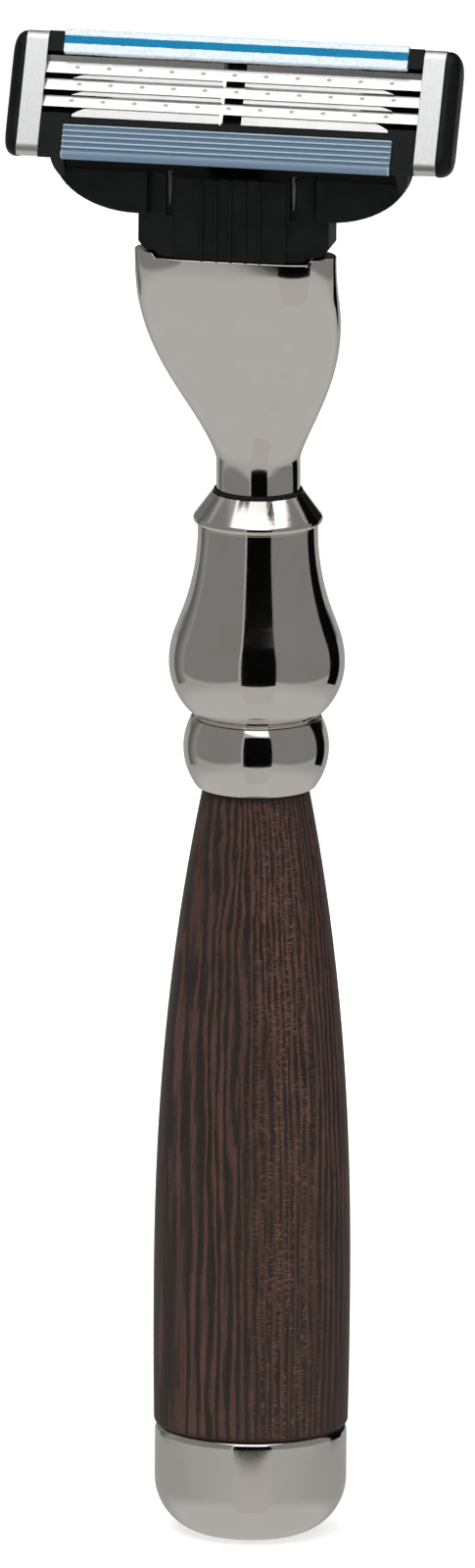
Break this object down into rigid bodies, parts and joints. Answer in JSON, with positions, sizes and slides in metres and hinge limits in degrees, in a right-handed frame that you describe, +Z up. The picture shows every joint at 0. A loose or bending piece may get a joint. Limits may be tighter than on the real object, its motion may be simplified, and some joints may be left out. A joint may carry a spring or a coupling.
{
  "type": "cartridge razor",
  "caption": "Cartridge razor with a dark wooden grip, polished metal bead, bell and curved head, and a pivoting multi-blade cartridge that pulls off",
  "frame": {"origin": "middle of the end cap's flat base, on the handle's axis", "axes": "+Z up the handle's axis towards the cartridge, -Y the way the blades face, +X to the right seen from the blades' side"},
  "size_m": [0.0416, 0.0271, 0.1428],
  "materials": {
    "chrome": "polished nickel-chrome plate",
    "wenge": "fine-grained dark wood, satin oil",
    "steel": "plain turned steel",
    "spring_wire": "drawn spring wire",
    "seal": "black rubber",
    "dock_plastic": "moulded, fine matt",
    "frame_plastic": "moulded, fine matt",
    "connector_plastic": "moulded, satin",
    "guard": "soft moulded rubber, satin",
    "strip_white": "waxy, slightly fibrous",
    "strip_blue": "waxy",
    "clip": "fine brushed",
    "support_steel": "rolled stainless sheet",
    "blade_steel": "ground stainless, spot welded"
  },
  "bodies": {
    "handle": {"end_cap": "chrome", "wood_grip": "wenge", "tie_rod": "steel", "bead_ring": "chrome", "lip_ring": "chrome", "bell_ferrule": "chrome", "collar": "chrome", "neck_seal": "seal", "head_neck": "chrome", "docking_post": "dock_plastic", "plunger_spring": "spring_wire"},
    "plunger": {"plunger": "dock_plastic"},
    "connector": {"connector": "connector_plastic"},
    "cartridge": {"housing": "frame_plastic", "guard_strip": "guard", "lubricating_strip": "strip_white", "lubricating_stripe": "strip_blue", "clip_left": "clip", "clip_right": "clip"},
    "blade_unit_1": {"blade_1": "blade_steel", "blade_support_1": "support_steel"},
    "blade_unit_2": {"blade_2": "blade_steel", "blade_support_2": "support_steel"},
    "blade_unit_3": {"blade_3": "blade_steel", "blade_support_3": "support_steel"}
  },
  "joints": [
    {"name": "cartridge_release", "type": "slide", "parent": "handle", "child": "connector", "axis": [0, 0, 1], "range_m": [0, 0.008]},
    {"name": "cartridge_pivot", "type": "hinge", "parent": "connector", "child": "cartridge", "pos_m": [0, -0.01638, 0.13285], "axis": [-1, 0, 0], "range_deg": [0, 40], "stiffness_Nm_per_rad": 0.004},
    {"name": "plunger_slide", "type": "slide", "parent": "handle", "child": "plunger", "axis": [0, 0, -1], "range_m": [0, 0.00226], "deforming": ["plunger_spring"]},
    {"name": "blade_1_float", "type": "slide", "parent": "cartridge", "child": "blade_unit_1", "axis": [0, 0.866, -0.5], "range_m": [0, 0.00025], "stiffness_N_per_m": 300},
    {"name": "blade_2_float", "type": "slide", "parent": "cartridge", "child": "blade_unit_2", "axis": [0, 0.866, -0.5], "range_m": [0, 0.00025], "stiffness_N_per_m": 300},
    {"name": "blade_3_float", "type": "slide", "parent": "cartridge", "child": "blade_unit_3", "axis": [0, 0.866, -0.5], "range_m": [0, 0.00025], "stiffness_N_per_m": 300}
  ],
  "couplings": [
    {"joint": "plunger_slide", "follows": "cartridge_pivot", "m_per_rad": 0.00322}
  ]
}
